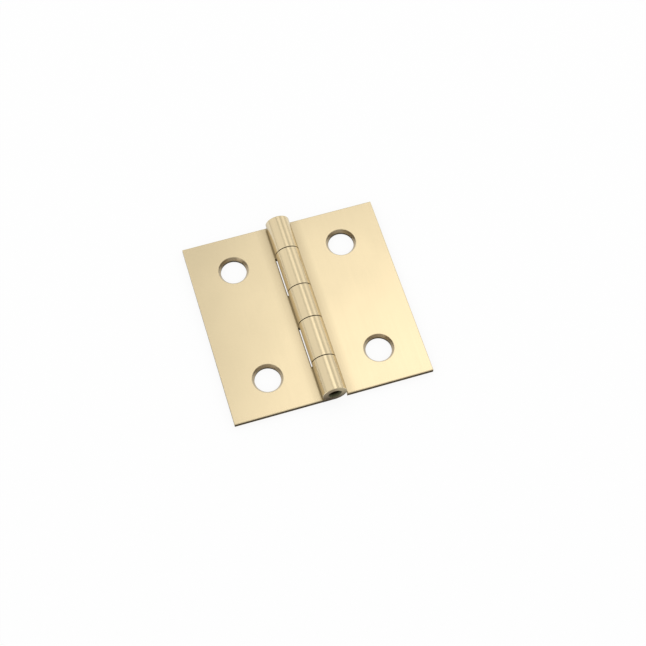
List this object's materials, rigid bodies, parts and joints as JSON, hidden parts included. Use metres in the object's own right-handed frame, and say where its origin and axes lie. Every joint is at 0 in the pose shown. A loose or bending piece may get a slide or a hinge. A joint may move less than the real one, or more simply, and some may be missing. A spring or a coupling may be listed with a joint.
{
  "type": "butt hinge",
  "caption": "Square butt hinge with curled knuckles on a fixed pin and countersunk screw holes in both leaves, in satin brass.",
  "frame": {"origin": "on the mounting face under the middle of the barrel, with the hinge open flat", "axes": "+Z out of the mounting face towards the barrel, +Y along the pin, +X towards the two-knuckle leaf"},
  "size_m": [0.0508, 0.0508, 0.0062],
  "materials": {
    "leaf_brass": "satin champagne brass, brushed along the barrel",
    "pin_brass": "plain drawn wire, darker than the leaves"
  },
  "bodies": {
    "fixed_leaf": {"three_knuckle_leaf": "leaf_brass", "hinge_pin": "pin_brass"},
    "moving_leaf": {"two_knuckle_leaf": "leaf_brass"}
  },
  "joints": [
    {"name": "leaf_swing", "type": "hinge", "parent": "fixed_leaf", "child": "moving_leaf", "pos_m": [0, 0, 0.0031], "axis": [0, -1, 0], "range_deg": [-90, 180]}
  ]
}
